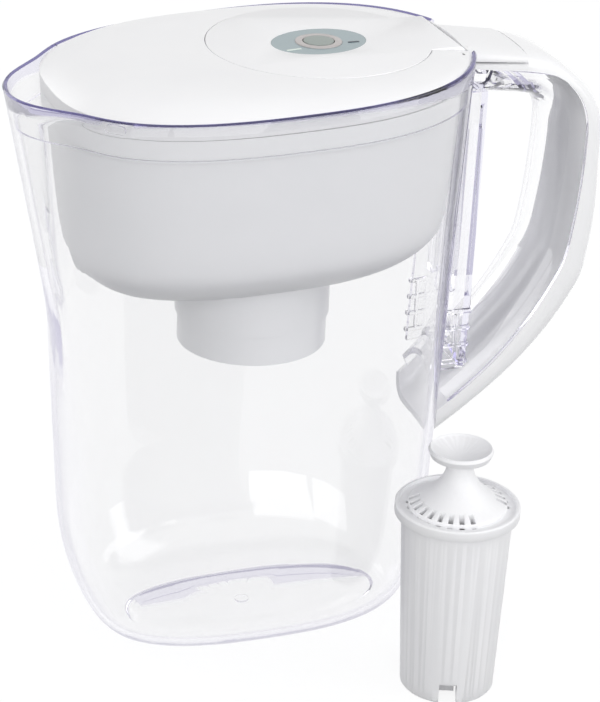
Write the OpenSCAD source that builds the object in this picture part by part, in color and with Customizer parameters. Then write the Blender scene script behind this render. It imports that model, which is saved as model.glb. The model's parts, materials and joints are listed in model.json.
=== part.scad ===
// Water filter pitcher: clear jug, two-part handle, lift-out reservoir, lift-off
// lid with a hinged flap and a filter indicator, and a cartridge standing beside it.
// Millimetres. The origin is the centre of the foot on the table, +Z is up, the
// spout points along -X and the handle along +X.

/* [Jug] */
// Height of the rim over the middle of the jug
rim_z = 244.6; // [225:0.1:265]
// Rise of the rim for each millimetre towards the handle
rim_rise = 0.04; // [0.01:0.005:0.045]
// Where the middle of the jug's outline lies along X
jug_mid = 8; // [4:0.5:12]
// From the middle to the front of the rim, without the spout
rim_front = 93; // [85:0.5:100]
// From the middle to the rear of the rim
rim_rear = 79; // [74:0.5:84]
// Half the width of the rim
rim_half = 66.5; // [60:0.5:74]
// From the middle to the front, at the top of the bottom bend
low_front = 86.5; // [82:0.5:91]
// From the middle to the rear, at the top of the bottom bend
low_rear = 70; // [67:0.5:74]
// Half the width at the top of the bottom bend
low_half = 58.6; // [54:0.1:63]
// Height of the large bend between the wall and the foot
bend_z = 59; // [50:1:72]
// How far the bend draws the front in
bend_front = 25; // [18:0.5:30]
// How far the bend draws the rear in
bend_rear = 15; // [12:0.5:22]
// How far the bend draws each side in
bend_side = 33; // [24:0.5:38]
// Thickness of the jug's wall
jug_wall = 2.6; // [2.2:0.1:3.2]
// Thickness of the jug's floor
jug_floor = 3.2; // [2.6:0.1:4]
// Depth of the hollow under the foot
foot_hollow = 1.2; // [0.8:0.1:1.8]

/* [Spout] */
// From the middle to the tip of the spout, at the rim
spout_tip = 108.5; // [103:0.5:112]
// Radius of the spout's tip, seen from above
spout_r = 34; // [26:0.5:38]
// Height at which the spout starts to leave the wall
spout_z = 131; // [110:1:150]

/* [Reservoir] */
// Thickness of the reservoir's wall
tub_wall = 1.8; // [1.5:0.1:2.4]
// Height of the reservoir's floor, underside, over the middle of the jug
tub_floor_z = 159.3; // [152:0.1:163]
// From the rim down to the foot of the reservoir's band
band_z = 14.6; // [11.6:0.1:18.6]
// How far the bend under the reservoir draws each side in
tub_bend = 39; // [32:0.5:42]
// Height of that bend
tub_bend_h = 24; // [18:0.5:30]
// How far the reservoir's wall leans in from the band to the bend
tub_lean = 3.5; // [2:0.5:5]
// Outer radius of the filter collar
collar_r = 30.3; // [29.5:0.1:31.5]
// Height of the collar's lower edge
collar_z = 127.3; // [122:0.1:132]
// Where the collar's axis lies along X
collar_x = 1; // [-4:0.5:6]

/* [Lid] */
// Height of the lid's top over the rim
lid_top = 5.3; // [4.8:0.1:6.9]
// Thickness of the lid
lid_wall = 2; // [1.6:0.1:2.4]
// Height of the lid's skirt, below the rim
skirt_h = 6.8; // [6.5:0.1:8]
// Radius of the flap
flap_r = 44.4; // [40:0.1:46]
// Where the middle of the flap lies along X
flap_x = 26.1; // [22:0.1:28]
// Radius of the filling hole under the flap
fill_r = 36; // [30:0.5:38]
// Thickness of the flap
flap_t = 2.2; // [1.8:0.1:2.6]
// Half the width of the flap's arm
arm_half = 20.5; // [17:0.5:20.5]
// Where the hinge axis lies along X
hinge_x = 77; // [76:0.1:78]
// Radius of the hinge pins
pin_r = 1.5; // [1.2:0.1:1.8]

/* [Handle] */
// Half the width of the handle
grip_half = 20.2; // [17:0.1:21]
// From the rim down to the handle's upper arm, at its rear end
arm_z = 8; // [7.6:0.1:10.6]
// How far the top arm leans down from the jug
arm_lean = 7; // [4:0.5:9]
// Radius of the handle's upper corner
corner_r = 28; // [24:0.5:34]
// Where the edge of the white cover lies behind the hand, along X
back_x = 136.8; // [131:0.1:140]
// Radius of the handle's long back curve
back_r = 284; // [240:1:330]
// Angle at which the back curve passes into the knee under the hand
back_angle = 10; // [8:0.5:12]
// Radius of the knee under the hand
knee_r = 45; // [35:1:55]
// Angle at which the knee passes into the foot's curve
knee_angle = 27; // [24:0.5:30]
// Radius of the foot's curve
foot_r = 139; // [120:1:155]
// Angle of the handle's foot, where it runs in to the jug
foot_angle = 56; // [53:0.5:59]
// Depth of the white cover at the knee
knee_depth = 15.5; // [12:0.1:17]
// Depth of the white cover at the foot
foot_depth = 12; // [9:0.1:13]
// Depth of the white cover's arm under the lid's tail, at the jug
arm_depth = 2.4; // [2.3:0.1:3.4]
// How much deeper the arm is where the tail ends
arm_rise = 0.9; // [0.3:0.1:1.2]
// How far the handle's outer face stands out where the lid's tail ends
tail_out = 7.4; // [6.5:0.1:9]
// Angle, in the upper corner, at which the cover is least deep
corner_angle = 50; // [40:1:60]
// Depth of the white cover there
corner_depth = 5.1; // [4.5:0.1:6.5]
// Depth of the white cover at the top of the back curve
back_depth = 9.3; // [7:0.1:12]
// Depth of the clear inner half of the handle
frame_depth = 13; // [10:0.1:15]
// Thickness of the handle's walls
grip_wall = 2.2; // [1.8:0.1:2.6]

/* [Indicator] */
// Long half of the oval label
label_long = 19.7; // [18:0.1:21]
// Short half of the oval label
label_short = 15.5; // [14:0.1:17]
// Turn of the oval label on the flap
label_turn = 10; // [0:1:20]
// Radius of the push button
button_r = 6; // [5:0.1:6.5]
// Radius of the pale ring round the button
bezel_r = 9.25; // [8.5:0.05:10]
// Travel of the push button
button_travel = 0.7; // [0.5:0.05:0.7]
// Outer radius of the cup that holds the electronics
cup_r = 17.4; // [16.8:0.1:19]
// Radius of the coin cell
cell_r = 10; // [8:0.1:12.3]
// Thickness of the coin cell
cell_t = 3.2; // [2:0.1:3.2]

/* [Filter] */
// Where the cartridge stands, along X
filter_x = 61; // [56:0.1:75]
// Where the cartridge stands, along Y
filter_y = -81.5; // [-95:0.1:-80]
// Outer radius of the cartridge's flange
flange_r = 24.9; // [24.5:0.1:27]
// Outer radius of the cartridge's body under the flange
body_top_r = 22.2; // [21.5:0.1:24.2]
// Outer radius of the cartridge's body at the foot
body_foot_r = 19; // [18.2:0.1:21]
// Height of the flange's underside
flange_z = 78; // [70:1:90]
// Height of the whole cartridge
filter_h = 106.6; // [104:0.1:118]
// Radius of the dished knob
knob_r = 12.9; // [11:0.1:14.5]
// Number of slots in each of the cap's two rows
slot_count = 9; // [5:1:11]

/* [Hidden] */

$fn = 64;
ring_points = 56;       // points round each lofted outline
ring_crowd = 20;        // how far they crowd towards the spout, in degrees
power_front = 2.75;     // squareness of the outline before its middle
power_rear = 2.25;      // and behind it
flank_angle = 45;       // the spout's flanks, from the X axis
flank_span = 31;        // how far round the flanks reach, in degrees
bend_steps = 9;
gap = 0.35;             // between pieces of different bodies
seat = 0.1;             // between pieces of one body
eps = 0.01;             // overlap of joined shapes
lid_z = rim_z + lid_top;
band_low = rim_z - band_z;
arm_top = rim_z - arm_z;

clear_plastic = [0.86, 0.88, 0.95, 0.35];
white_plastic = [0.95, 0.95, 0.95];

// ---------- outlines and lofts ----------

function blend(a, b, t) = a + (b - a) * t;
function ring_angle(i) = let (t = 360 * i / ring_points) t + ring_crowd * sin(t);

// An outline is [front, rear, half]: its reach from the middle along -X, +X and Y.
function outline_blend(a, b, t) = [for (k = [0:2]) blend(a[k], b[k], t)];
function grown(outline, by) = [for (size = outline) size + by];
function outline_reach(angle, outline) =
    let (ahead = cos(angle) < 0)
    let (power = ahead ? power_front : power_rear)
    let (along = pow(abs(cos(angle)) / outline[ahead ? 0 : 1], power))
    let (across = pow(abs(sin(angle)) / outline[2], power))
    pow(along + across, -1 / power);

// The spout reaches out as a round tip between two straight flanks.
function spout_reach(angle, tip, radius) =
    let (off = abs(angle - 180))
    let (nose = tip - radius)
    let (tip_end = atan2(radius * sin(flank_angle), nose + radius * cos(flank_angle)))
    off > flank_span ? 0 :
    off < tip_end ? nose * cos(off) + sqrt(pow(radius, 2) - pow(nose * sin(off), 2)) :
    (nose * cos(flank_angle) + radius) / cos(off - flank_angle);

function ring_point(angle, reach, z, rise) =
    let (x = jug_mid + reach * cos(angle))
    [x, reach * sin(angle), z + rise * x];
function outline_ring(outline, z, rise = 0) =
    [for (i = [0:ring_points - 1])
        ring_point(ring_angle(i), outline_reach(ring_angle(i), outline), z, rise)];

// Closes a stack of rings, each with as many points, into one solid. The ends of a
// hollow stack are closed by a strip between the two halves of their ring.
module skin(rings, hollow = false) {
    n = len(rings[0]);
    last = len(rings) - 1;
    points = [for (ring = rings) each ring];
    walls = [for (k = [0:last - 1], i = [0:n - 1])
        let (a = k * n + i, b = k * n + (i + 1) % n)
        each [[a, a + n, b + n], [a, b + n, b]]];
    strip = [for (i = [0:n / 2 - 2]) each [[i, i + 1, n - 1 - i], [i + 1, n - 2 - i, n - 1 - i]]];
    whole = [[for (i = [0:n - 1]) i]];
    start = hollow ? strip : whole;
    end = [for (face = start) [for (k = [len(face) - 1:-1:0]) last * n + face[k]]];
    polyhedron(points, concat(start, walls, end), convexity = 10);
}

// ---------- jug ----------

rim_outline = [rim_front, rim_rear, rim_half];
low_outline = [low_front, low_rear, low_half];
bend_in = [bend_front, bend_rear, bend_side];
ledge_wall = jug_wall - 0.8;    // the wall over the ledge that carries the reservoir
ledge_z = band_low - gap;
wall_zs = concat([for (t = [1, 2]) blend(bend_z, spout_z, t / 3)],
                 [for (t = [0:4]) blend(spout_z, band_low, t / 5)]);

function up_the_wall(z) = (z - bend_z) / (rim_z - bend_z);
function jug_outline(z) = outline_blend(low_outline, rim_outline, up_the_wall(z));
function spout_part(z) = max(0, (z - spout_z) / (rim_z - spout_z));
function spout_tip_at(z) = blend(jug_outline(spout_z)[0], spout_tip, spout_part(z));
function tilt(z) = rim_rise * spout_part(z);

// A ring of the jug's wall at height z, drawn in by inset.
function wall_ring(z, inset) =
    [for (i = [0:ring_points - 1])
        let (angle = ring_angle(i))
        let (base = outline_reach(angle, jug_outline(z)))
        let (spout = z > spout_z ? spout_reach(angle, spout_tip_at(z), spout_r) : 0)
        ring_point(angle, max(base, spout) - inset, z, tilt(z))];

// A ring of the bottom bend: turn is 0 at the wall and 90 at the foot.
function bend_ring(turn, wall, floor_t) =
    let (drawn = [for (k = [0:2]) low_outline[k] - bend_in[k] * (1 - cos(turn))])
    outline_ring(grown(drawn, -wall * cos(turn)), bend_z * (1 - sin(turn)) + floor_t * sin(turn));

foot_outline = [for (k = [0:2]) low_outline[k] - bend_in[k]];
foot_land = 2.2;
turns = [for (k = [0:bend_steps - 1]) 90 - 90 * k / bend_steps];
rim_round = 0.7;

module jug_shell() {
    skin(concat(
        [outline_ring(grown(foot_outline, -foot_land - foot_hollow), foot_hollow)],
        [outline_ring(grown(foot_outline, -foot_land), 0)],
        [for (turn = turns) bend_ring(turn, 0, 0)],
        [for (z = concat([bend_z], wall_zs, [band_low])) wall_ring(z, 0)],
        [wall_ring(rim_z - rim_round, 0), wall_ring(rim_z, rim_round)],
        [wall_ring(rim_z, ledge_wall - rim_round), wall_ring(rim_z - rim_round, ledge_wall)],
        [wall_ring(ledge_z + eps, ledge_wall), wall_ring(ledge_z, jug_wall)],
        [for (k = [len(wall_zs) - 1:-1:0]) wall_ring(wall_zs[k], jug_wall)],
        [for (k = [bend_steps:-1:0]) bend_ring(90 - 90 * k / bend_steps, jug_wall, jug_floor)]));
}

// The wall's outer face at the rear, at a height and a distance from the middle plane.
function rear_x(y, z) =
    let (outline = jug_outline(z))
    jug_mid + outline[1] * pow(1 - pow(abs(y) / outline[2], power_rear), 1 / power_rear);

tail_half = grip_half + 0.8;
rail_half = 2.8;
rail_end = 6;           // from the end of the leg's slot to the end of the rail
rail_wing = 7;
rail_t = 1.5;

// The T rail behind the jug, which the handle's leg slides on to: its stem stands in the
// leg's slot and its wings lie in front of the leg.
module handle_rail() {
    low = slot_low + rail_end;
    high = slot_high - rail_end;
    stem_x = rear_x(0, low) - jug_wall / 2;
    translate([stem_x, -rail_half, low])
        cube([leg_x(low) - stem_x, 2 * rail_half, high - low]);
    intersection() {
        leg_plate(rail_wing, leg_t + gap, leg_t + gap + rail_t);
        translate([0, -rail_wing, low])
            cube([back_x, 2 * rail_wing, high - low]);
    }
}

// The two small bumps that the reservoir's band snaps behind, one in each side wall.
bump_z = band_low + 8.5;
bump_angle = 211;
bump_long = 4.2;
bump_r = 1.7;
module snap_bump(angle) {
    reach = outline_reach(angle, jug_outline(bump_z));
    ahead = outline_reach(angle + 2, jug_outline(bump_z));
    run = [ahead * cos(angle + 2) - reach * cos(angle), ahead * sin(angle + 2) - reach * sin(angle)];
    translate([jug_mid + reach * cos(angle), reach * sin(angle), bump_z + tilt(bump_z) * jug_mid])
    rotate([0, 0, atan2(run[1], run[0])])
    rotate([90, 0, 0])
    hull()
        for (side = [-1, 1])
            translate([side * (bump_long - bump_r), 0, -ledge_wall / 2])
                cylinder(r = bump_r, h = ledge_wall / 2 + 0.7, $fn = 24);
}

module pitcher_body() {
    color(clear_plastic)
    difference() {
        union() {
            jug_shell();
            handle_rail();
            for (angle = [bump_angle, 360 - bump_angle])
                snap_bump(angle);
            cylinder(r = 3, h = foot_hollow + 1);
        }
        translate([rim_rear, -tail_half, arm_station(jug_mid + rim_rear)[1] + arm_depth + gap])
            cube([2 * jug_mid, 2 * tail_half, rim_z]);
        translate([0, 0, -1])
            cylinder(r = 5, h = 1.4);
    }
}

// ---------- handle ----------

// The edge where the white cover meets the clear frame, in the XZ plane: along the top
// arm, round the upper corner, down the long back curve, round the knee and the foot's
// curve and straight in to the jug. A station is [x, z, direction of the outward
// normal, depth of the cover].
arm_root_x = 88;
foot_root_x = 80.5;
arc_steps = 6;
arm_normal = 90 - arm_lean;
function on_arc(mid, radius, angle, depth) =
    [mid[0] + radius * cos(angle), mid[1] + radius * sin(angle), angle, depth];
// The stations of an arc from one angle and depth to the next.
function eased(part) = (1 - cos(180 * part)) / 2;
function arc_stations(mid, radius, angles, depths, steps = arc_steps) =
    [for (k = [1:steps]) let (part = k / steps)
        on_arc(mid, radius, blend(angles[0], angles[1], part),
               blend(depths[0], depths[1], eased(part)))];
// The middle of the arc that carries on from an arc's last station with a new radius.
function next_mid(station, mid, part) = [for (k = [0, 1]) blend(station[k], mid[k], part)];

corner_mid = [back_x - corner_r, arm_top - corner_r];
arm_end = on_arc(corner_mid, corner_r, arm_normal, tail_out);
back_mid = [back_x - back_r, corner_mid[1]];
back_end_depth = blend(back_depth, knee_depth, 0.65);
back_end = on_arc(back_mid, back_r, -back_angle, back_end_depth);
knee_mid = next_mid(back_end, back_mid, knee_r / back_r);
knee_end = on_arc(knee_mid, knee_r, -knee_angle, knee_depth);
foot_mid = next_mid(knee_end, knee_mid, foot_r / knee_r);
foot_end = on_arc(foot_mid, foot_r, -foot_angle, foot_depth);
foot_run = (foot_end[0] - foot_root_x) / sin(foot_angle);
function arm_station(x) =
    [x, arm_end[1] + (arm_end[0] - x) * tan(arm_lean), arm_normal, tail_out];
function foot_station(run) = [foot_end[0] - run * sin(foot_angle),
    foot_end[1] - run * cos(foot_angle), -foot_angle, foot_depth];
curve_stations = concat(
    arc_stations(corner_mid, corner_r, [arm_normal, corner_angle], [tail_out, corner_depth], 3),
    arc_stations(corner_mid, corner_r, [corner_angle, 0], [corner_depth, back_depth], 5),
    arc_stations(back_mid, back_r, [0, -back_angle], [back_depth, back_end_depth]),
    arc_stations(knee_mid, knee_r, [-back_angle, -knee_angle], [back_end_depth, knee_depth]),
    arc_stations(foot_mid, foot_r, [-knee_angle, -foot_angle], [knee_depth, foot_depth]));

// A point beside the edge: out along its normal and across along Y.
function beside(station, out, y) =
    [station[0] + out * cos(station[2]), y, station[1] + out * sin(station[2])];

// Half an oval tube, from its outer side back along its inner one. A softness of 1 is
// an ellipse and less is squarer.
half_turns = [for (k = [0:12]) 90 - 15 * k];
function soft_sin(a, softness) = sign(sin(a)) * pow(abs(sin(a)), softness);
function soft_cos(a, softness) = pow(max(0, cos(a)), softness);
function half_oval(station, out, wide, softness, off) =
    [for (a = half_turns)
        beside(station, out * soft_cos(a, softness) + off, wide * soft_sin(a, softness))];
function half_tube(station, out, wide, softness, off) = let (side = sign(out)) concat(
    half_oval(station, out, side * wide, softness, off),
    half_oval(station, out - side * grip_wall, -side * (wide - grip_wall), softness, off));

// The cover is low and square under the lid's tail, then steps up to carry on its line.
cover_softness = 0.62;
function cover_ring(station) = half_tube(station, station[3], grip_half, cover_softness, 0);
arm_softness = 0.2;
function arm_ring(station, depth) = half_tube(station, depth, grip_half, arm_softness, 0);
function frame_ring(station) =
    half_tube(station, -frame_depth, grip_half - seat, 1, -seat);

// Moves a point along a direction in the XZ plane until it meets the jug's rear wall.
function onto_jug(p, way) =
    let (reach = (p[0] - rear_x(p[1], p[2]) - 3 * seat) / -way[0])
    [p[0] + way[0] * reach, p[1], p[2] + way[1] * reach];
foot_way = [-sin(foot_angle), -cos(foot_angle)];
arm_way = [-cos(arm_lean), sin(arm_lean)];

module handle_cover() {
    root = arm_ring(arm_station(arm_root_x), arm_depth);
    arm_seat = [for (p = root) onto_jug(p, arm_way)];
    foot_seat = [for (p = cover_ring(foot_station(foot_run))) onto_jug(p, foot_way)];
    color(white_plastic)
    skin(concat(
        [arm_seat],
        [root],
        [arm_ring(arm_station(tail_x + gap), arm_depth + arm_rise)],
        [cover_ring(arm_station(tail_x + gap + 0.3))],
        [for (station = curve_stations) cover_ring(station)],
        [cover_ring(foot_station(foot_run))],
        [foot_seat]), hollow = true);
}

leg_half = 17;
leg_t = 2.2;
leg_foot = 13.5;         // from the end of the foot's curve up to the leg's lower end
leg_low = foot_end[1] + leg_foot;
leg_high = arm_top - 7.6;
leg_off = [9.5, 6.3];    // from the jug's wall to the leg's outer face, below and above
slot_half = 4;
slot_high = leg_high - 13;
slot_low = leg_low + 32;

// The leg's outer face leans in downwards, as the jug's wall does.
function leg_x(z) = let (part = (z - leg_low) / (leg_high - leg_low))
    blend(rear_x(0, leg_low) + leg_off[0], rear_x(0, leg_high) + leg_off[1], part);
module leg_plate(half, from, to) {
    translate([0, half, 0])
    rotate([90, 0, 0])
    linear_extrude(2 * half)
    polygon([for (z = [leg_low, leg_high]) [leg_x(z) - from, z],
             for (z = [leg_high, leg_low]) [leg_x(z) - to, z]]);
}
module leg_side(y) {
    translate([0, y + leg_t / 2, 0])
    rotate([90, 0, 0])
    linear_extrude(leg_t)
    polygon([for (z = [leg_low, leg_high]) [rear_x(leg_half - leg_t, z) + 2 * seat, z],
             for (z = [leg_high, leg_low]) [leg_x(z) - leg_t / 2, z]]);
}

// Rungs on both sides of the leg's foot, where the clear half hooks on to the jug.
rung_t = 1.4;
rung_proud = 2;
rung_step = 7.5;
rung_zs = [for (k = [0:3]) leg_low + 4 + k * rung_step];
module leg_rungs(side) {
    translate([0, side * (leg_half + rung_proud / 2 - eps), 0]) {
        for (z = rung_zs) {
            start = rear_x(leg_half, z) + 2 * seat;
            translate([start, -rung_proud / 2, z - rung_t / 2])
                cube([leg_x(z) - start, rung_proud, rung_t]);
        }
        translate([leg_x(rung_zs[0]) - 6, -rung_proud / 2, rung_zs[0]])
            cube([rung_t, rung_proud, rung_zs[3] - rung_zs[0]]);
    }
}

// Screw bosses and the slanted ribs between the arm's two walls.
boss_x = jug_mid + rim_rear + 12.5;
boss_z = arm_top - 6.5;
boss_r = 4;
boss_bore = 1.6;
boss_in = 7;            // the bosses' inner ends, from the middle plane
rib_t = 1.3;
rib_x = boss_x + 8;
rib_step = 3.6;
rib_slant = 50;
module arm_core() {
    skin([for (station = [arm_station(boss_x - boss_r - 1), each curve_stations])
        half_oval(station, grip_wall / 2 - frame_depth, grip_wall / 2 - grip_half, 1, -seat)]);
}
module arm_details() {
    for (side = [-1, 1])
        translate([boss_x, side * (boss_in + grip_half) / 2, boss_z])
        rotate([90, 0, 0])
        difference() {
            cylinder(r = boss_r, h = grip_half - boss_in, center = true, $fn = 32);
            cylinder(r = boss_bore, h = grip_half, center = true, $fn = 32);
        }
    for (k = [0, 1])
        translate([rib_x + k * rib_step, 0, arm_top - frame_depth / 2])
        rotate([0, -rib_slant, 0])
            cube([rib_t, 2 * grip_half, 2 * frame_depth], center = true);
}

module handle_frame() {
    middle = concat([arm_station(leg_x(leg_high))], curve_stations);
    color(clear_plastic)
    difference() {
        union() {
            skin([for (station = middle) frame_ring(station)], hollow = true);
            leg_plate(leg_half, 0, leg_t);
            for (side = [-1, 1]) {
                leg_side(side * (leg_half - leg_t / 2));
                leg_rungs(side);
            }
            intersection() {
                arm_core();
                arm_details();
            }
        }
        skin([for (z = [bend_z, spout_z]) outline_ring(grown(jug_outline(z), seat), z)]);
        hull()
            for (z = [slot_low, slot_high])
                translate([leg_x(leg_low) - 2 * leg_t, 0, z])
                rotate([0, 90, 0])
                    cylinder(r = slot_half, h = 5 * leg_t);
    }
}

// ---------- reservoir ----------

skirt_z = rim_z - skirt_h;
band_inset = ledge_wall + gap;  // the band and the lid, in from the jug's outer face
groove_h = 1.8;
step_in = 0.85;
tub_inset = band_inset + 2 * step_in;
tub_z = band_low - groove_h;
tub_bends = [tub_bend - 9, tub_bend, tub_bend];
tub_bend_z = tub_floor_z + tub_bend_h;
seat_z = collar_z + 5.7;        // the ledge in the collar that the filter's flange meets
seat_r = body_top_r + 0.8;
filter_fit = 0.4;
collar_mouth = collar_r - tub_wall;
collar_step_z = collar_z + 12.7;
collar_step = 1;

function band_ring(z, inset) =
    outline_ring(grown(jug_outline(z), -inset), z, tilt(max(z, band_low)));
// A ring of the tub's bend: turn is 0 at the wall and 90 at the floor.
function tub_ring(turn, wall) =
    let (top = grown(jug_outline(tub_z), -tub_inset - tub_lean - wall * cos(turn)))
    let (drawn = [for (k = [0:2]) top[k] - tub_bends[k] * (1 - cos(turn))])
    outline_ring(drawn, blend(tub_bend_z, tub_floor_z, sin(turn)) + wall * sin(turn),
                 tilt(band_low));
tub_turns = [for (k = [0:7]) 90 - 90 * k / 7];

module reservoir() {
    lip_z = skirt_z - gap;
    color(white_plastic)
    difference() {
        union() {
            skin(concat(
                [for (turn = tub_turns) tub_ring(turn, 0)],
                [band_ring(tub_z, tub_inset)],
                [band_ring(tub_z + 0.2, band_inset + step_in)],
                [band_ring(band_low - 0.2, band_inset + step_in), band_ring(band_low, band_inset)],
                [band_ring(lip_z, band_inset), band_ring(lip_z, band_inset + tub_wall)],
                [band_ring(tub_z, tub_inset + tub_wall)],
                [for (k = [7:-1:0]) tub_ring(tub_turns[k], tub_wall)]));
            translate([collar_x, 0, collar_z])
                cylinder(r = collar_r, h = tub_floor_z + tub_wall - collar_z);
            translate([collar_x, 0, collar_step_z])
                cylinder(r = collar_r + collar_step, h = tub_floor_z + tub_wall - collar_step_z);
        }
        translate([collar_x, 0, seat_z])
            cylinder(r1 = flange_r + filter_fit, r2 = collar_mouth, h = tub_floor_z - seat_z);
        translate([collar_x, 0, tub_floor_z - eps])
            cylinder(r = collar_mouth, h = 20);
        translate([collar_x, 0, collar_z - 1])
            cylinder(r = seat_r, h = 20);
    }
}

// ---------- lid and flap ----------

flat_part = 0.4;        // the flat middle, as a share of the outline
crown_power = 4.5;
lid_parts = [0.4, 0.55, 0.68, 0.8, 0.9, 0.96, 1];
lid_round = 0.9;
barrel_r = 3.2;
hinge_z = lid_z - barrel_r;
recess_z = lid_z - flap_t - gap;
cup_floor = 2.1;
arm_space = arm_half + gap;
well_gap = 0.8;
well_rear = hinge_x + barrel_r + well_gap;
cheek_t = 3.5;
tail_x = jug_mid + rim_rear + 20;

// A ring of the lid's crown, at a share of the way out to its edge.
function crown_ring(part, inset, down) =
    let (edge = grown(rim_outline, -band_inset))
    let (fall = pow((part - flat_part) / (1 - flat_part), crown_power))
    [for (i = [0:ring_points - 1])
        let (angle = ring_angle(i))
        let (reach = outline_reach(angle, edge))
        let (edge_z = rim_z + rim_rise * (jug_mid + reach * cos(angle)))
        ring_point(angle, part * reach - inset, blend(lid_z, edge_z, fall) - down, 0)];

module lid_shell() {
    inner = [for (part = lid_parts) crown_ring(part, part * lid_wall, lid_wall)];
    outer = [for (k = [len(lid_parts) - 2:-1:0]) crown_ring(lid_parts[k], 0, 0)];
    edge = grown(rim_outline, -band_inset);
    foot = grown(jug_outline(skirt_z), -band_inset);
    skin(concat(inner,
        [outline_ring(grown(foot, -lid_wall), skirt_z, rim_rise)],
        [outline_ring(foot, skirt_z, rim_rise)],
        [outline_ring(edge, rim_z - lid_round, rim_rise)],
        [outline_ring(grown(edge, -lid_round), rim_z, rim_rise)],
        [for (k = [1:len(outer) - 1]) outer[k]]));
}

// A ring of the tail that runs back over the handle's arm, from its underside up to its
// top, both measured from the arm's edge.
tail_softness = 0.85;
function tail_ring(x, low, top) = let (station = arm_station(x))
    concat(half_oval(station, top - low - 1, grip_half, tail_softness, low + 1),
           [beside(station, low, -grip_half), beside(station, low, grip_half)]);

module lid_tail() {
    root = [rim_rear + 1, arm_depth + 2 * gap, lid_z - 0.6 - arm_station(rim_rear)[1]];
    end = [tail_x, arm_depth + arm_rise + gap, tail_out];
    skin([for (part = [0:0.2:1])
        tail_ring(blend(root[0], end[0], part), blend(root[1], end[1], part),
                  blend(root[2], end[2], part))]);
}

module hinge_line(radius, half) {
    translate([hinge_x, half, hinge_z])
    rotate([90, 0, 0])
        cylinder(r = radius, h = 2 * half);
}

// The block under the crown that holds the hinge. It ends over the reservoir's lip.
block_z = skirt_z + rim_rise * (jug_mid + rim_rear);
block_half = arm_space + cheek_t;
block_front = hinge_x - barrel_r - well_gap - lid_wall;
module hinge_block() {
    inside = outline_ring(grown(jug_outline(skirt_z), -band_inset - lid_wall / 2), 0);
    intersection() {
        translate([block_front, -block_half, block_z])
            cube([rim_rear, 2 * block_half, lid_z - 2 - block_z]);
        translate([0, 0, block_z - 1])
        linear_extrude(20)
        polygon([for (p = inside) [p[0], p[1]]]);
    }
}

module lid() {
    color(white_plastic)
    difference() {
        union() {
            lid_shell();
            lid_tail();
            translate([flap_x, 0, recess_z - cup_floor])
                cylinder(r = flap_r + gap + lid_wall, h = cup_floor + 1);
            hinge_block();
        }
        translate([flap_x, 0, recess_z])
            cylinder(r = flap_r + gap, h = 10);
        translate([flap_x, 0, recess_z - 10])
            cylinder(r = fill_r, h = 20);
        translate([flap_x, -arm_space, recess_z])
            cube([well_rear - flap_x, 2 * arm_space, 10]);
        translate([hinge_x - barrel_r - well_gap, -arm_space, hinge_z - barrel_r - well_gap])
            cube([2 * (barrel_r + well_gap), 2 * arm_space, 10]);
        hinge_line(pin_r + 0.05, block_half + 1);
    }
}

button_hole = button_r + gap;
label_in = 0.7;

module oval_prism(long, short, z, height) {
    translate([flap_x, 0, z])
    rotate([0, 0, label_turn])
    linear_extrude(height)
    polygon([for (k = [0:59]) [long * cos(6 * k), short * sin(6 * k)]]);
}

module flip_lid() {
    ring_r = fill_r - 2 * gap;
    color(white_plastic)
    difference() {
        union() {
            translate([flap_x, 0, lid_z - flap_t])
                cylinder(r = flap_r, h = flap_t);
            translate([flap_x, -arm_half, lid_z - flap_t])
                cube([hinge_x - flap_x, 2 * arm_half, flap_t]);
            hinge_line(barrel_r, arm_half);
            hinge_line(pin_r, arm_space + cheek_t - 0.8);
            translate([flap_x, 0, lid_z - flap_t - 1.6])
            difference() {
                cylinder(r = ring_r, h = 1.6 + eps);
                translate([0, 0, -1])
                    cylinder(r = ring_r - 1.6, h = 4);
            }
        }
        oval_prism(label_long, label_short, lid_z - label_in, 2);
        translate([flap_x, 0, lid_z - 10])
            cylinder(r = button_hole, h = 20);
    }
}

// ---------- filter indicator ----------

under_flap = lid_z - flap_t;
cup_wall = 1.8;
cup_h = 11.2;
cup_in = cup_r - cup_wall;
ledge_r = cup_in - 1.6;
board_t = 1;
board_top = under_flap - 4.1;
cover_t = 1.6;
cover_z = under_flap - cup_h;
cell_top = board_top - board_t - 0.7;
button_flange = 1.4;

module ring(outer, inner, z, height) {
    translate([flap_x, 0, z])
    difference() {
        cylinder(r = outer, h = height);
        translate([0, 0, -1])
            cylinder(r = inner, h = height + 2);
    }
}

module indicator_label() {
    color([0.62, 0.72, 0.76])
    difference() {
        oval_prism(label_long - seat, label_short - seat, lid_z - label_in, label_in - seat);
        translate([flap_x, 0, lid_z - 2])
            cylinder(r = bezel_r + seat, h = 4);
    }
}

module indicator_bezel() {
    color([0.84, 0.84, 0.8])
        ring(bezel_r, button_hole, lid_z - label_in, label_in + 0.3);
}

module indicator_button() {
    flange_top = under_flap - gap;
    stem_low = board_top + 1 + button_travel + 0.1;
    color([0.76, 0.77, 0.73])
    translate([flap_x, 0, 0])
    union() {
        translate([0, 0, flange_top - button_flange])
            cylinder(r = button_r, h = lid_z + 0.5 - flange_top + button_flange);
        translate([0, 0, flange_top - button_flange])
            cylinder(r = button_r + 1.4, h = button_flange);
        translate([0, 0, stem_low])
            cylinder(r = 1.5, h = flange_top - button_flange - stem_low + eps);
    }
}

module indicator_housing() {
    color(white_plastic)
    difference() {
        translate([flap_x, 0, cover_z])
            cylinder(r = cup_r, h = cup_h - 0.02);
        translate([flap_x, 0, board_top])
            cylinder(r = ledge_r, h = 20);
        translate([flap_x, 0, cover_z - 1])
            cylinder(r = cup_in, h = board_top - cover_z + 1);
    }
}

module indicator_board() {
    color("seagreen")
    translate([flap_x, 0, board_top - board_t])
        cylinder(r = cup_in - seat, h = board_t - 0.02);
}

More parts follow.
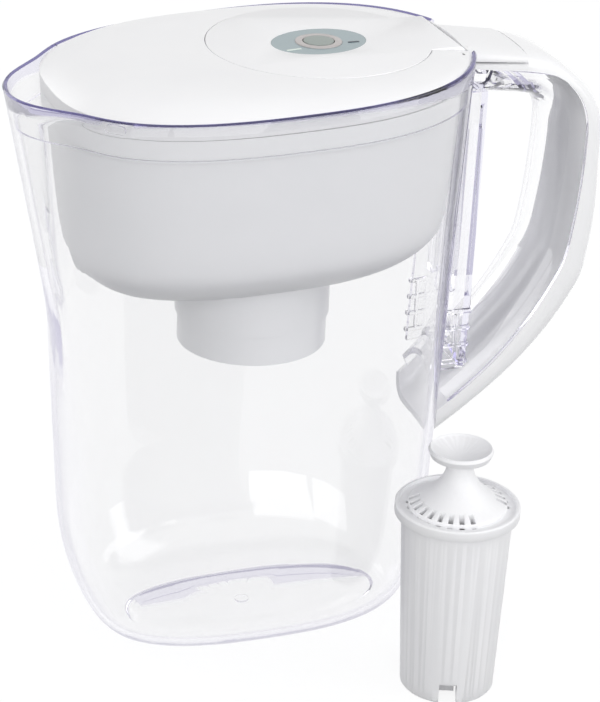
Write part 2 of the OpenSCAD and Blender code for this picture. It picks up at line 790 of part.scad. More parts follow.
module indicator_leds() {
    color([0.8, 0.9, 0.8])
    for (turn = [150, 210])
        translate([flap_x + 10.5 * cos(turn), 10.5 * sin(turn), board_top])
            cylinder(r = 1.2, h = 1.6);
}

module dome_switch() {
    color("silver")
    translate([flap_x, 0, board_top])
    intersection() {
        cylinder(r = 3, h = 1);
        translate([0, 0, 1 - 6])
            sphere(r = 6);
    }
}

module battery_contacts() {
    long = 12;
    wide = 2;
    apart = 9;
    color("goldenrod")
    for (side = [-1, 1])
        translate([flap_x - long / 2, (side * apart - wide) / 2, cell_top + 0.02])
            cube([long, wide, board_top - board_t - cell_top - 0.04]);
}

module coin_cell() {
    color("lightgray")
    translate([flap_x, 0, cell_top - cell_t])
        cylinder(r = cell_r, h = cell_t);
}

module indicator_back_cover() {
    groove_r = 0.8;
    coin_slot = 8;
    color(white_plastic)
    difference() {
        translate([flap_x, 0, cover_z])
            cylinder(r = cup_in - seat, h = cell_top - cell_t - cover_z - 0.02);
        translate([flap_x, 0, cover_z + (cell_top - cell_t - cover_z) / 2])
        rotate_extrude()
        translate([cup_in - seat, 0])
            circle(r = groove_r);
        translate([flap_x - coin_slot, -0.8, cover_z - 1])
            cube([2 * coin_slot, 1.6, 1.6]);
    }
}

module indicator_seal() {
    color([0.2, 0.2, 0.22])
    translate([flap_x, 0, cover_z + (cell_top - cell_t - cover_z) / 2])
    rotate_extrude()
    translate([cup_in - seat, 0])
    intersection() {
        circle(r = 0.75);
        translate([-2, -2])
            square([2, 4]);
    }
}

// ---------- filter cartridge ----------

shell_t = 1.6;
foot_t = 2.4;
lip_h = 4;
dome_z = flange_z + lip_h;
dome_h = 18;
knob_h = filter_h - dome_z - dome_h;
neck_r = 5.2;
slot_in = flange_r - 9.9;
slot_out = flange_r - 5.6;
slot_w = 2;
slot_step = 13.6;
slot_turn = -149;        // middle of the nearer row of slots, seen from above
step_r = slot_out + 0.3; // the step round the slots, down to the flange
step_h = 1.6;
dash_l = 0.9;            // of the short outer slots at the foot of the step
lip_w = 1.6;
lip_in = 1;              // how far the flange lies under its lip
notch_turn = -112;
notch_w = 7;
notch_h = 9;
notch_in = 8;            // how far the foot's notch reaches in
drain_at = 10;           // from the axis to the foot's drain holes
screen_t = 0.8;

function body_r(z) = blend(body_foot_r, body_top_r, z / flange_z);

module beside_jug() {
    translate([filter_x, filter_y, 0])
        children();
}

module filter_housing() {
    color(white_plastic)
    beside_jug()
    difference() {
        rotate_extrude()
        polygon([[0, 1.4], [body_foot_r - 3, 1.4], [body_foot_r - 3, 0], [body_foot_r - 0.6, 0],
                 [body_foot_r, 0.8], [body_top_r, flange_z - 0.1],
                 [body_r(flange_z) - shell_t, flange_z - 0.1],
                 [body_r(notch_h + foot_t) - shell_t, notch_h + foot_t],
                 [0, notch_h + foot_t]]);
        for (turn = [0:60:359])
            rotate([0, 0, turn + 30])
            translate([drain_at, 0, -1])
                cylinder(r = 2, h = notch_h + foot_t + 3);
        rotate([0, 0, notch_turn])
        translate([body_foot_r - notch_in, -notch_w / 2, -1])
            cube([2 * notch_in, notch_w, notch_h + 1]);
    }
}

module filter_cap() {
    plate_z = flange_z + lip_h - lip_in;
    cone_z = plate_z + step_h;
    crown_z = cone_z + 2.2;
    neck_z = dome_z + dome_h;
    color(white_plastic)
    beside_jug()
    difference() {
        rotate_extrude()
        polygon(concat(
            [[0, cone_z], [slot_in - 1.6, cone_z], [slot_in - 1.6, flange_z + 1.6],
             [body_top_r - 3, flange_z + 1.6], [body_top_r - 3, flange_z],
             [flange_r, flange_z], [flange_r, dome_z - 0.5], [flange_r - 0.5, dome_z],
             [flange_r - lip_w, dome_z], [flange_r - lip_w - 0.3, plate_z],
             [step_r, plate_z], [step_r, cone_z - 0.3], [slot_out, cone_z], [slot_in, crown_z]],
            [for (k = [1:8]) let (t = k / 8)
                [blend(slot_in, neck_r, 1 - pow(1 - t, 2.2)), blend(crown_z, neck_z, t)]],
            [[knob_r - 1, filter_h - knob_h + 3], [knob_r, filter_h - 1.2],
             [knob_r - 0.8, filter_h], [knob_r - 1.8, filter_h - 0.8],
             [neck_r - 2, filter_h - knob_h + 2.6], [0, filter_h - knob_h + 2.6]]));
        for (row = [0, 180], k = [0:slot_count - 1])
            rotate([0, 0, slot_turn + row + (k - (slot_count - 1) / 2) * slot_step]) {
                translate([slot_in, -slot_w / 2, flange_z - 1])
                    cube([slot_out - slot_in, slot_w, crown_z - flange_z + 2]);
                translate([step_r, -slot_w / 2, flange_z - 1])
                    cube([dash_l, slot_w, lip_h]);
            }
    }
}

module filter_inlet_screen() {
    color([0.8, 0.8, 0.78])
    beside_jug()
    translate([0, 0, flange_z - screen_t - 0.3])
        cylinder(r = body_r(flange_z - screen_t) - shell_t - 2 * seat, h = screen_t);
}

module filter_media() {
    low = notch_h + foot_t + screen_t + 0.2;
    top = flange_z - screen_t - 0.4;
    color([0.25, 0.24, 0.22])
    beside_jug()
    translate([0, 0, low])
        cylinder(r1 = body_r(low) - shell_t - 2 * seat, r2 = body_r(top) - shell_t - 2 * seat,
                 h = top - low);
}

module filter_outlet_screen() {
    color([0.8, 0.8, 0.78])
    beside_jug()
    translate([0, 0, notch_h + foot_t + seat])
        cylinder(r = body_r(notch_h) - shell_t - seat, h = screen_t);
}

pitcher_body();
handle_frame();
handle_cover();
reservoir();
lid();
flip_lid();
indicator_label();
indicator_bezel();
indicator_button();
indicator_housing();
indicator_board();
indicator_leds();
dome_switch();
battery_contacts();
coin_cell();
indicator_back_cover();
indicator_seal();
filter_housing();
filter_cap();
filter_inlet_screen();
filter_media();
filter_outlet_screen();
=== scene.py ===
"""Looks of the water filter pitcher: clear jug, two-part handle, lift-out reservoir,
lid with a hinged flap and a filter indicator, and a filter cartridge standing beside it.
Lengths are in metres, in the frame of the solids, with Z up."""

import json
import math

import bpy
from mathutils import Matrix, Vector

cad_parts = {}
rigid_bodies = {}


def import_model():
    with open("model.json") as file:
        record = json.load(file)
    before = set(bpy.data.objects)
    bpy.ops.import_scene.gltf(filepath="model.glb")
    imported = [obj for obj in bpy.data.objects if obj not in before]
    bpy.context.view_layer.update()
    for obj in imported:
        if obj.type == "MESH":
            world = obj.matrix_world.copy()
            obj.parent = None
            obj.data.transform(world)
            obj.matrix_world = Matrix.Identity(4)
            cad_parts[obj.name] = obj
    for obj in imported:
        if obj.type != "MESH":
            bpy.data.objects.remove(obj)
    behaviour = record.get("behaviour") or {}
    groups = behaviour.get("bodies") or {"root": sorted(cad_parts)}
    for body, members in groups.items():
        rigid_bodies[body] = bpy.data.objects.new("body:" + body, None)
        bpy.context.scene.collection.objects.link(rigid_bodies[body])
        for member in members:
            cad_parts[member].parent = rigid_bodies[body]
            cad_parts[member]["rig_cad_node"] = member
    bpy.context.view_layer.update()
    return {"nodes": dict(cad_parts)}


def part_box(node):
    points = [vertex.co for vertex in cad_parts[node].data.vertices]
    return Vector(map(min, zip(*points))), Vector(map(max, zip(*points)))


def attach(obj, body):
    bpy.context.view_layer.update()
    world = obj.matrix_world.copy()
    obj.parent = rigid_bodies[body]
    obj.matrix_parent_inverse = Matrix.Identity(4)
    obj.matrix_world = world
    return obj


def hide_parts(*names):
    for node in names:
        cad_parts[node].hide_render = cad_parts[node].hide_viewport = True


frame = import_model()
NODES = frame["nodes"]
MM = 0.001


# ---------- colour and node helpers ----------

def srgb(code):
    """A '#rrggbb' colour as linear RGBA."""
    parts = [int(code[k:k + 2], 16) / 255 for k in (1, 3, 5)]
    return [p / 12.92 if p <= 0.04045 else ((p + 0.055) / 1.055) ** 2.4 for p in parts] + [1.0]


def add_node(tree, kind, settings=None, inputs=None):
    """Adds one node. A node socket given as an input is linked, and any other value is set."""
    node = tree.nodes.new(kind)
    for name, value in (settings or {}).items():
        setattr(node, name, value)
    for name, value in (inputs or {}).items():
        if isinstance(value, bpy.types.NodeSocket):
            tree.links.new(value, node.inputs[name])
        else:
            node.inputs[name].default_value = value
    return node


def start_material(name):
    """An empty material with its output and Object coordinates."""
    material = bpy.data.materials.new(name)
    material.use_nodes = True
    tree = material.node_tree
    tree.nodes.clear()
    output = add_node(tree, "ShaderNodeOutputMaterial")
    place = add_node(tree, "ShaderNodeTexCoord").outputs["Object"]
    return material, tree, output, place


# ---------- how each kind of material is made ----------

PLASTIC_IOR = 1.5
TONE_DRIFT = 18 * MM        # length of the slow drift of tone in an opaque surface
GLOSS_SWING = 0.15          # share by which the grain changes its roughness
COAT_ROUGHNESS = 0.08

POLISH = 0.015              # roughness that a polished mould leaves on clear plastic
FLOW_WAVE = 30 * MM         # length and height of the flow waves in clear plastic
FLOW_HEIGHT = 0.12 * MM
# painted shade: where the wall is seen side on, the clear plastic's colour darkens towards its
# outline
OUTLINE_SHADE_STARTS = 0.72          # how side on the wall is seen, from 0 to 1, where it
OUTLINE_SHADE_FULL = 0.96            # starts to darken and where it is darkest
PASSING = "#fcfcfd"         # what one skin lets through of lamp light
LEAVING = "#e9e8ef"         # and of light that is caught inside the wall
CAUGHT_AFTER = 1.5          # reflections, so that the second one counts
WALL_TINT = "#c9c6ea"       # violet of clear plastic in the depth
WALL_DENSITY = 5.0          # of that tint, per metre

METAL_SWING = 0.3           # share by which a metal's grain changes its roughness
METAL_STRETCH = 12.0        # how much finer its grain is across than along

GRAIN_SIZE = 1.1 * MM       # of the carbon and the resin beads
GRAIN_RELIEF = 0.5 * MM
BEAD_TONE = 0.7             # tone from which a grain is a pale bead: about one in five
CARBON_ROUGHNESS = 0.8

WEAVE_SCALE = 4 * MM        # gives a thread every 1.26 mm, several times the real step,
WEAVE_RELIEF = 0.2 * MM     # so that the weave shows
WEAVE_ROUGHNESS = 0.6


def opaque(name, colour, shade, roughness, grain_mm, relief_mm, coat=0.0):
    """An opaque plastic, rubber, film or lacquer: a slow drift of tone, and in its bump
    and gloss the fine grain that the mould or the coating leaves. The grain is drawn
    several times coarser than the real one, so that it shows."""
    material, tree, output, place = start_material(name)
    drift = add_node(tree, "ShaderNodeTexNoise", None,
                     {"Vector": place, "Scale": 1 / TONE_DRIFT, "Detail": 3.0})
    colours = add_node(tree, "ShaderNodeMix", {"data_type": "RGBA"},
                       {"Factor": drift.outputs["Fac"], "A": srgb(colour), "B": srgb(shade)})
    grain = add_node(tree, "ShaderNodeTexNoise", None,
                     {"Vector": place, "Scale": 1 / (grain_mm * MM), "Detail": 2.0})
    gloss = add_node(tree, "ShaderNodeMapRange", None,
                     {"Value": grain.outputs["Fac"],
                      "To Min": roughness * (1 - GLOSS_SWING),
                      "To Max": roughness * (1 + GLOSS_SWING)})
    bump = add_node(tree, "ShaderNodeBump", None,
                    {"Height": grain.outputs["Fac"], "Strength": 1.0,
                     "Distance": relief_mm * MM})
    surface = add_node(tree, "ShaderNodeBsdfPrincipled", None,
                       {"Base Color": colours.outputs["Result"],
                        "Roughness": gloss.outputs["Result"], "IOR": PLASTIC_IOR,
                        "Coat Weight": coat, "Coat Roughness": COAT_ROUGHNESS,
                        "Normal": bump.outputs["Normal"]})
    tree.links.new(surface.outputs["BSDF"], output.inputs["Surface"])
    return material


def clear_moulded(name, clarity, edge):
    """A clear plastic from a polished mould: glass clear and hard, with long shallow flow waves
    that bend the reflections. Its colour is darkened where the eye looks along the wall, as at
    its outline: painted shade, standing in for the dark lines that reflections give at the
    outline of clear plastic. Lamp light goes straight through it, which leaves the table almost
    as bright as beside it, and so does light that was reflected twice, which would otherwise go
    dark inside the wall."""
    material, tree, output, place = start_material(name)
    wave = add_node(tree, "ShaderNodeTexNoise", None,
                    {"Vector": place, "Scale": 1 / FLOW_WAVE, "Detail": 1.0})
    bump = add_node(tree, "ShaderNodeBump", None,
                    {"Height": wave.outputs["Fac"], "Strength": 1.0, "Distance": FLOW_HEIGHT})
    # painted shade: the colour darkens where the wall is seen side on, as at the outline
    slant = add_node(tree, "ShaderNodeLayerWeight", None, {"Blend": 0.5})
    side_on = add_node(tree, "ShaderNodeMapRange", None,
                       {"Value": slant.outputs["Facing"], "From Min": OUTLINE_SHADE_STARTS,
                        "From Max": OUTLINE_SHADE_FULL})
    colours = add_node(tree, "ShaderNodeMix", {"data_type": "RGBA"},
                       {"Factor": side_on.outputs["Result"], "A": srgb(clarity),
                        "B": srgb(edge)})
    surface = add_node(tree, "ShaderNodeBsdfPrincipled", None,
                       {"Base Color": colours.outputs["Result"], "Roughness": POLISH,
                        "IOR": PLASTIC_IOR, "Transmission Weight": 1.0,
                        "Normal": bump.outputs["Normal"]})
    passing = add_node(tree, "ShaderNodeBsdfTransparent", None, {"Color": srgb(PASSING)})
    leaving = add_node(tree, "ShaderNodeBsdfTransparent", None, {"Color": srgb(LEAVING)})
    path = add_node(tree, "ShaderNodeLightPath")
    light = add_node(tree, "ShaderNodeMath", {"operation": "MAXIMUM"},
                     {0: path.outputs["Is Shadow Ray"], 1: path.outputs["Is Diffuse Ray"]})
    caught = add_node(tree, "ShaderNodeMath", {"operation": "GREATER_THAN"},
                      {0: path.outputs["Glossy Depth"], 1: CAUGHT_AFTER})
    wall = add_node(tree, "ShaderNodeMixShader", None,
                    {0: caught.outputs["Value"], 1: surface.outputs["BSDF"],
                     2: leaving.outputs["BSDF"]})
    both = add_node(tree, "ShaderNodeMixShader", None,
                    {0: light.outputs["Value"], 1: wall.outputs["Shader"],
                     2: passing.outputs["BSDF"]})
    depth = add_node(tree, "ShaderNodeVolumeAbsorption", None,
                     {"Color": srgb(WALL_TINT), "Density": WALL_DENSITY})
    tree.links.new(both.outputs["Shader"], output.inputs["Surface"])
    tree.links.new(depth.outputs["Volume"], output.inputs["Volume"])
    return material


def metal(name, colour, shade, roughness, grain_mm):
    """A bare metal with a brushed or rolled grain in its gloss."""
    material, tree, output, place = start_material(name)
    stretch = add_node(tree, "ShaderNodeMapping", None,
                       {"Vector": place, "Scale": (1.0, METAL_STRETCH, 1.0)})
    grain = add_node(tree, "ShaderNodeTexNoise", None,
                     {"Vector": stretch.outputs["Vector"], "Scale": 1 / (grain_mm * MM),
                      "Detail": 3.0})
    colours = add_node(tree, "ShaderNodeMix", {"data_type": "RGBA"},
                       {"Factor": grain.outputs["Fac"], "A": srgb(colour), "B": srgb(shade)})
    gloss = add_node(tree, "ShaderNodeMapRange", None,
                     {"Value": grain.outputs["Fac"],
                      "To Min": roughness * (1 - METAL_SWING),
                      "To Max": roughness * (1 + METAL_SWING)})
    surface = add_node(tree, "ShaderNodeBsdfPrincipled", None,
                       {"Base Color": colours.outputs["Result"], "Metallic": 1.0,
                        "Roughness": gloss.outputs["Result"]})
    tree.links.new(surface.outputs["BSDF"], output.inputs["Surface"])
    return material


def carbon_grains():
    """Granular activated carbon with pale resin beads: dark, dull, broken grains."""
    material, tree, output, place = start_material("granular_carbon_and_resin")
    cells = add_node(tree, "ShaderNodeTexVoronoi", None,
                     {"Vector": place, "Scale": 1 / GRAIN_SIZE})
    ramp = add_node(tree, "ShaderNodeValToRGB", None, {"Fac": cells.outputs["Color"]})
    ramp.color_ramp.interpolation = "CONSTANT"
    ramp.color_ramp.elements[0].color = srgb("#26262a")
    ramp.color_ramp.elements[1].position = BEAD_TONE
    ramp.color_ramp.elements[1].color = srgb("#b9a787")
    bump = add_node(tree, "ShaderNodeBump", {"invert": True},
                    {"Height": cells.outputs["Distance"], "Strength": 1.0,
                     "Distance": GRAIN_RELIEF})
    surface = add_node(tree, "ShaderNodeBsdfPrincipled", None,
                       {"Base Color": ramp.outputs["Color"], "Roughness": CARBON_ROUGHNESS,
                        "Normal": bump.outputs["Normal"]})
    tree.links.new(surface.outputs["BSDF"], output.inputs["Surface"])
    return material


def woven_screen():
    """Woven polyester mesh: white threads, square open weave."""
    material, tree, output, place = start_material("woven_polyester_mesh")
    turned = add_node(tree, "ShaderNodeMapping", None,
                      {"Vector": place, "Rotation": (0, 0, math.radians(90))})
    weft = add_node(tree, "ShaderNodeTexWave", None,
                    {"Vector": place, "Scale": 1 / WEAVE_SCALE})
    warp = add_node(tree, "ShaderNodeTexWave", None,
                    {"Vector": turned.outputs["Vector"], "Scale": 1 / WEAVE_SCALE})
    weave = add_node(tree, "ShaderNodeMath", {"operation": "MAXIMUM"},
                     {0: weft.outputs["Fac"], 1: warp.outputs["Fac"]})
    colours = add_node(tree, "ShaderNodeMix", {"data_type": "RGBA"},
                       {"Factor": weave.outputs["Value"], "A": srgb("#8d8f90"),
                        "B": srgb("#e4e4e2")})
    bump = add_node(tree, "ShaderNodeBump", None,
                    {"Height": weave.outputs["Value"], "Strength": 1.0,
                     "Distance": WEAVE_RELIEF})
    surface = add_node(tree, "ShaderNodeBsdfPrincipled", None,
                       {"Base Color": colours.outputs["Result"],
                        "Roughness": WEAVE_ROUGHNESS, "Normal": bump.outputs["Normal"]})
    tree.links.new(surface.outputs["BSDF"], output.inputs["Surface"])
    return material


# ---------- materials ----------

# SAN of the jug: faintly grey through the wall, and darkened towards its outline by painted
# grey-violet shade.
CLEAR_SAN = clear_moulded("clear_moulded_san", "#f4f4f4", "#8a869b")
# The jug's open edge: a thin dark violet line painted on the rim's top faces, painted shade for
# the light that runs along the wall and takes on the plastic's violet.
SAN_RIM_SHADE = clear_moulded("clear_moulded_san_rim_painted_shade", "#726c94", "#645e86")
# Clear ABS of the handle: a little purer, as it is made of thinner walls, and darkened towards
# its outline by painted grey-violet shade.
CLEAR_ABS = clear_moulded("clear_moulded_abs", "#fbfbfb", "#a4a1b4")
# Polypropylene, satin mould: a soft milky white with a broad, low gloss.
LID_WHITE = opaque("satin_white_polypropylene", "#f6f6f7", "#f2f2f4",
                   roughness=0.34, grain_mm=0.5, relief_mm=0.006)
# Polypropylene, half-gloss mould: the lid's milky white, a little smoother and glossier.
TUB_WHITE = opaque("half_gloss_white_polypropylene", "#f7f7f8", "#f3f4f5",
                   roughness=0.3, grain_mm=0.5, relief_mm=0.004)
# ABS, polished mould: dense white with a clear, hard gloss.
COVER_WHITE = opaque("gloss_white_abs", "#f7f7f8", "#f3f3f5",
                     roughness=0.16, grain_mm=0.6, relief_mm=0.002, coat=0.2)
# Polypropylene of the cartridge: plain white, matt from a grained mould.
FILTER_WHITE = opaque("matt_white_polypropylene", "#f5f5f6", "#eeeef1",
                      roughness=0.42, grain_mm=0.5, relief_mm=0.01)
# Printed polyester film: flat blue-grey under a thin gloss.
LABEL_FILM = opaque("printed_polyester_film", "#8a9ea3", "#82969c",
                    roughness=0.3, grain_mm=0.4, relief_mm=0.002, coat=0.5)
# Soft-touch TPE of the button: warm grey and quite matt.
BUTTON_TPE = opaque("matt_grey_tpe", "#9ea6a2", "#98a09c",
                    roughness=0.5, grain_mm=0.4, relief_mm=0.01)
# ABS of the ring: pale pinkish grey with a soft gloss.
RING_ABS = opaque("pale_grey_abs", "#c0bab8", "#b8b2b1",
                  roughness=0.25, grain_mm=0.4, relief_mm=0.004)
# Solder resist over glass-fibre board: deep green, even gloss.
BOARD_GREEN = opaque("green_solder_resist", "#1f6b45", "#1a5c3b",
                     roughness=0.28, grain_mm=0.8, relief_mm=0.01)
# Diffusing epoxy of the lamps: milky and soft.
LED_EPOXY = opaque("milky_epoxy", "#dfe8e2", "#d4e0d8",
                   roughness=0.22, grain_mm=0.5, relief_mm=0.002)
# Smoked polycarbonate of a lamp window that is off: blue-black with a gloss.
SMOKED_LENS = opaque("smoked_polycarbonate", "#2f3b49", "#2a3542",
                     roughness=0.15, grain_mm=0.5, relief_mm=0.001, coat=0.3)
# Silicone rubber: near black, dull.
SEAL_SILICONE = opaque("black_silicone", "#2b2c2f", "#242528",
                       roughness=0.6, grain_mm=0.5, relief_mm=0.01)
# Rolled stainless steel of the coin cell and the dome: cool, brushed one way.
CELL_STEEL = metal("rolled_stainless_steel", "#c6c7c9", "#b4b5b8",
                   roughness=0.25, grain_mm=2.0)
# Gold-plated bronze springs: warm and bright.
CONTACT_GOLD = metal("gold_plated_bronze", "#d8b26a", "#c79f58",
                     roughness=0.2, grain_mm=1.5)
# The bed in the cartridge: black grains with pale beads between them.
CARBON = carbon_grains()
# The screens over and under that bed: a pale, dull cloth.
MESH_CLOTH = woven_screen()


# ---------- pieces made from the solids ----------

SEAM = 0.01 * MM            # corners nearer than this are one corner
FACET_TURN = 12             # degrees: triangles that turn less become one four-sided face
FACET_SKEW = 60             # degrees: how far such a face may be from a rectangle
SHARP_TURN = 24             # degrees: an edge that turns more stays hard in a smooth skin

RIM_HEIGHT = 244.6 * MM     # of the jug's rim at the middle of the part
RIM_RISE = 0.04             # what it climbs towards the handle, per length
RIM_DEPTH = 0.9 * MM        # of the stretch below it that counts as its edge
RIM_FACES_UP = 0.4          # least upward share of the normal of a face on that edge

FLAT_TURN = 0.5             # degrees: faces that turn less are one flat face
HARD_TURN = 35              # degrees: an edge that turns more is rounded
SHADE_TURN = 32             # degrees: and one that turns less is shaded smooth
EDGE_STEPS = 2              # faces across a rounded edge

WINDOW_WIDE = 1.1 * MM      # of a lamp window in the label
WINDOW_TALL = 0.5 * MM
WINDOW_ROUND = 0.45 * WINDOW_TALL
WINDOW_STEPS = 3            # faces across its rounded edge
WINDOW_SHADE_TURN = 40      # degrees

INSIDE_TURN = 30            # degrees: shading of the pieces that keep their solids


def only(piece):
    """Leaves one object selected and active."""
    bpy.ops.object.select_all(action="DESELECT")
    piece.select_set(True)
    bpy.context.view_layer.objects.active = piece


def finish_with(piece, material):
    """Gives a piece one material all over."""
    piece.data.materials.clear()
    piece.data.materials.append(material)


def own_copy(node, name):
    """A copy of a solid that can be worked on, left in edit mode with its seams joined."""
    only(NODES[node])
    bpy.ops.object.duplicate()
    piece = bpy.context.object
    piece.name = name
    piece.parent = None
    del piece["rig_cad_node"]    # the mark of a solid, which the copy no longer is
    bpy.ops.object.mode_set(mode="EDIT")
    bpy.ops.mesh.select_all(action="SELECT")
    bpy.ops.mesh.remove_doubles(threshold=SEAM)
    return piece


def dressed(piece, node, body, material):
    """Gives a worked copy its finish and puts it in the solid's place."""
    finish_with(piece, material)
    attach(piece, body)
    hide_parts(node)


def smoother_copy(node, name, body, material):
    """A copy of a solid with its loft's facets turned into one smooth skin."""
    piece = own_copy(node, name)
    bpy.ops.mesh.tris_convert_to_quads(face_threshold=math.radians(FACET_TURN),
                                       shape_threshold=math.radians(FACET_SKEW))
    bpy.ops.mesh.select_all(action="DESELECT")
    bpy.ops.mesh.select_mode(type="EDGE")
    bpy.ops.mesh.edges_select_sharp(sharpness=math.radians(SHARP_TURN))
    bpy.ops.transform.edge_crease(value=1)
    bpy.ops.mesh.select_all(action="DESELECT")
    bpy.ops.object.mode_set(mode="OBJECT")
    skin = piece.modifiers.new("skin", "SUBSURF")
    skin.levels = 1
    skin.render_levels = 1
    bpy.ops.object.modifier_apply(modifier="skin")
    bpy.ops.object.shade_smooth_by_angle(angle=math.radians(SHARP_TURN))
    dressed(piece, node, body, material)
    return piece


def paint_rim_shade(jug, material):
    """Gives the faces that look up along the jug's slanting rim a material of their own:
    painted shade, a thin dark violet line.
    """
    jug.data.materials.append(material)
    for face in jug.data.polygons:
        edge = RIM_HEIGHT + RIM_RISE * face.center.x - RIM_DEPTH
        if face.normal.z > RIM_FACES_UP and face.center.z > edge:
            face.material_index = 1


def broken_edges(node, name, body, material, round_mm):
    """A copy of a solid with its hard edges rounded a little, as a mould leaves them, so
    that they catch a thin line of light."""
    piece = own_copy(node, name)
    bpy.ops.mesh.dissolve_limited(angle_limit=math.radians(FLAT_TURN))
    bpy.ops.object.mode_set(mode="OBJECT")
    edge = piece.modifiers.new("edge", "BEVEL")
    edge.limit_method = "ANGLE"
    edge.angle_limit = math.radians(HARD_TURN)
    edge.width = round_mm * MM
    edge.segments = EDGE_STEPS
    bpy.ops.object.modifier_apply(modifier="edge")
    bpy.ops.object.shade_smooth_by_angle(angle=math.radians(SHADE_TURN))
    dressed(piece, node, body, material)


def lamp_window(name, x_mm, y_mm, length_mm, turn, material):
    """A low rounded bar let into the indicator's label, through which a lamp shows."""
    label_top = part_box("indicator_label")[1][2]
    bpy.ops.object.select_all(action="DESELECT")
    bpy.ops.mesh.primitive_cube_add(size=1, location=(x_mm * MM, y_mm * MM, label_top),
                                    rotation=(0, 0, math.radians(turn)),
                                    scale=(length_mm * MM, WINDOW_WIDE, WINDOW_TALL))
    window = bpy.context.object
    window.name = name
    bpy.ops.object.transform_apply(location=True, rotation=True, scale=True)
    edge = window.modifiers.new("edge", "BEVEL")
    edge.width = WINDOW_ROUND
    edge.segments = WINDOW_STEPS
    bpy.ops.object.modifier_apply(modifier="edge")
    bpy.ops.object.shade_smooth_by_angle(angle=math.radians(WINDOW_SHADE_TURN))
    finish_with(window, material)
    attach(window, "flap")


# The jug, with a painted dark line of shade on its rim.
paint_rim_shade(smoother_copy("pitcher_body", "jug", "pitcher", CLEAR_SAN), SAN_RIM_SHADE)
smoother_copy("handle_frame", "handle_clear_half", "pitcher", CLEAR_ABS)
smoother_copy("handle_cover", "handle_white_half", "pitcher", COVER_WHITE)
smoother_copy("reservoir", "reservoir_tub", "reservoir", TUB_WHITE)
smoother_copy("lid", "lid_shell", "lid", LID_WHITE)
broken_edges("flip_lid", "fill_flap", "flap", LID_WHITE, round_mm=0.5)
broken_edges("indicator_bezel", "button_ring", "flap", RING_ABS, round_mm=0.25)
broken_edges("indicator_button", "push_button", "button", BUTTON_TPE, round_mm=0.3)
lamp_window("lamp_window_pale", x_mm=13.3, y_mm=-7.3, length_mm=6.2, turn=8,
            material=LED_EPOXY)
lamp_window("lamp_window_dark", x_mm=39.2, y_mm=-4.0, length_mm=4.7, turn=0,
            material=SMOKED_LENS)
broken_edges("filter_housing", "cartridge_housing", "filter", FILTER_WHITE, round_mm=0.3)
broken_edges("filter_cap", "cartridge_cap", "filter", FILTER_WHITE, round_mm=0.2)

# The pieces whose solids show as they are, each with its own finish.
FINISHES = {
    "indicator_label": LABEL_FILM,
    "indicator_housing": TUB_WHITE,
    "indicator_board": BOARD_GREEN,
    "indicator_leds": LED_EPOXY,
    "dome_switch": CELL_STEEL,
    "battery_contacts": CONTACT_GOLD,
    "coin_cell": CELL_STEEL,
    "indicator_back_cover": TUB_WHITE,
    "indicator_seal": SEAL_SILICONE,
    "filter_inlet_screen": MESH_CLOTH,
    "filter_media": CARBON,
    "filter_outlet_screen": MESH_CLOTH,
}
for node, material in FINISHES.items():
    only(NODES[node])
    bpy.ops.object.shade_smooth_by_angle(angle=math.radians(INSIDE_TURN))
    finish_with(NODES[node], material)


# ---------- floor, light and camera ----------

TABLE_SIZE = 12             # metres
TABLE_GRAIN = 10 / 3 * MM   # of the faint speckle in the laminate
TABLE_ROUGHNESS = 0.9
TABLE_GLOW = 1.0            # how white it looks in gloss and through clear plastic,
TABLE_GLOW_SEEN = 0.88      # and what it adds to its own shade where it is seen itself

MIDDLE = (0, 0, 0.15)        # of the part, which the softboxes face,
BELOW_MIDDLE = (0, 0, 0.12)  # and which the highest of them faces

CAMERA_AIM = (0, 0, 0.125)
CAMERA_DISTANCE = 1.02558   # metres
CAMERA_AZIMUTH = -19.47     # degrees
CAMERA_ELEVATION = 24.73
CAMERA_ROLL = 1.49
CAMERA_LENS = 128.56        # millimetres, as is the sensor
CAMERA_SENSOR = 36
CAMERA_SHIFT = (0.0741, -0.0177)
CAMERA_CLIP = (0.05, 50)    # metres


def rays_that_look(tree):
    """1 for the rays by which the camera, gloss and clear plastic see a surface."""
    path = add_node(tree, "ShaderNodeLightPath")
    first = add_node(tree, "ShaderNodeMath", {"operation": "MAXIMUM"},
                     {0: path.outputs["Is Camera Ray"], 1: path.outputs["Is Transmission Ray"]})
    both = add_node(tree, "ShaderNodeMath", {"operation": "MAXIMUM"},
                    {0: first.outputs["Value"], 1: path.outputs["Is Glossy Ray"]})
    return both.outputs["Value"]


def backdrop():
    """A plain table top that looks white, keeps the shadows, and throws back only part of
    the light, so that undersides stay in soft shade."""
    material, tree, output, place = start_material("white_laminate")
    grain = add_node(tree, "ShaderNodeTexNoise", None,
                     {"Vector": place, "Scale": 1 / TABLE_GRAIN})
    colours = add_node(tree, "ShaderNodeMix", {"data_type": "RGBA"},
                       {"Factor": grain.outputs["Fac"], "A": srgb("#68696a"),
                        "B": srgb("#6a6b6c")})
    path = add_node(tree, "ShaderNodeLightPath")
    white = add_node(tree, "ShaderNodeMapRange", None,
                     {"Value": path.outputs["Is Camera Ray"], "To Min": TABLE_GLOW,
                      "To Max": TABLE_GLOW_SEEN})
    glow = add_node(tree, "ShaderNodeMath", {"operation": "MULTIPLY"},
                    {0: rays_that_look(tree), 1: white.outputs["Result"]})
    surface = add_node(tree, "ShaderNodeBsdfPrincipled", None,
                       {"Base Color": colours.outputs["Result"],
                        "Roughness": TABLE_ROUGHNESS, "Specular IOR Level": 0.0,
                        "Emission Color": srgb("#ffffff"),
                        "Emission Strength": glow.outputs["Value"]})
    tree.links.new(surface.outputs["BSDF"], output.inputs["Surface"])
    bpy.ops.mesh.primitive_plane_add(size=TABLE_SIZE, location=(0, 0, 0))
    floor = bpy.context.object
    floor.name = "floor"
    finish_with(floor, material)


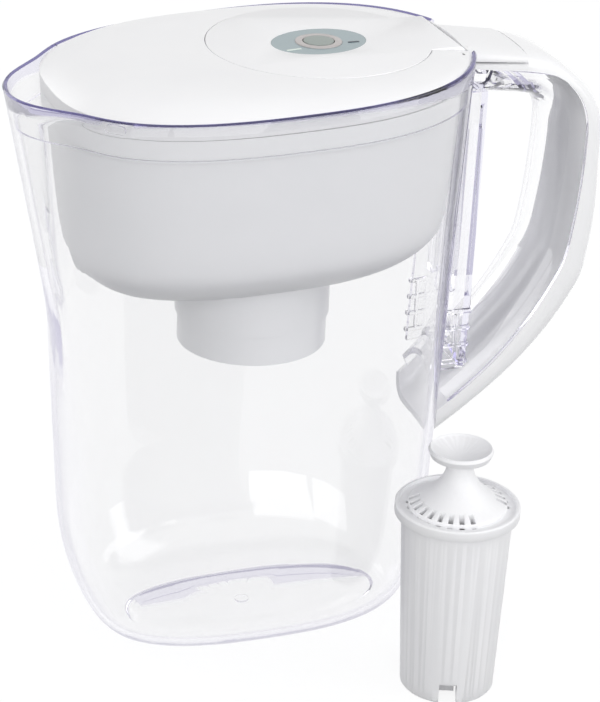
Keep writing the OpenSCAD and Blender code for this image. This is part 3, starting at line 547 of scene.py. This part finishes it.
def white_room(light_strength):
    """A room that is white to the eye, in gloss and through clear plastic, and gives a
    plain even light."""
    world = bpy.data.worlds.new("white_room")
    bpy.context.scene.world = world
    world.use_nodes = True
    tree = world.node_tree
    tree.nodes.clear()
    strength = add_node(tree, "ShaderNodeMapRange", None,
                        {"Value": rays_that_look(tree), "To Min": light_strength,
                         "To Max": 1.0})
    light = add_node(tree, "ShaderNodeBackground", None,
                     {"Color": srgb("#ffffff"), "Strength": strength.outputs["Result"]})
    output = add_node(tree, "ShaderNodeOutputWorld")
    tree.links.new(light.outputs["Background"], output.inputs["Surface"])


def softbox(name, place, aim, size, watts):
    """A square softbox at a place in metres, turned towards its aim."""
    bpy.ops.object.light_add(type="AREA", location=place)
    lamp = bpy.context.object
    lamp.name = name
    lamp.data.shape = "SQUARE"
    lamp.data.size = size
    lamp.data.energy = watts
    lamp.rotation_euler = (Vector(aim) - Vector(place)).to_track_quat("-Z", "Y").to_euler()


def studio_camera():
    """Looks down on the front left of the jug, from about a metre away."""
    azimuth = math.radians(CAMERA_AZIMUTH)
    elevation = math.radians(CAMERA_ELEVATION)
    roll = math.radians(CAMERA_ROLL)
    back = Vector((math.sin(azimuth) * math.cos(elevation),
                   -math.cos(azimuth) * math.cos(elevation), math.sin(elevation)))
    bpy.ops.object.camera_add(location=Vector(CAMERA_AIM) + back * CAMERA_DISTANCE)
    camera = bpy.context.object
    turn = (-back).to_track_quat("-Z", "Y").to_matrix() @ Matrix.Rotation(roll, 3, "Z")
    camera.rotation_euler = turn.to_euler()
    camera.data.sensor_width = CAMERA_SENSOR
    camera.data.lens = CAMERA_LENS
    camera.data.shift_x, camera.data.shift_y = CAMERA_SHIFT
    camera.data.clip_start, camera.data.clip_end = CAMERA_CLIP
    bpy.context.scene.camera = camera


backdrop()
white_room(light_strength=0.66)
softbox("right_softbox", place=(1.2, -0.56, 1.02), aim=BELOW_MIDDLE, size=1.0, watts=4.6)
softbox("side_softbox", place=(1.1, -1.2, 0.5), aim=MIDDLE, size=0.9, watts=4.4)
softbox("front_softbox", place=(-0.3, -1.6, 0.6), aim=MIDDLE, size=1.1, watts=7.0)
softbox("left_softbox", place=(-1.15, -1.05, 0.5), aim=MIDDLE, size=0.9, watts=4.5)
softbox("back_softbox", place=(-0.8, 1.3, 0.8), aim=MIDDLE, size=0.9, watts=5.3)
studio_camera()
bpy.context.scene.view_settings.view_transform = "Standard"
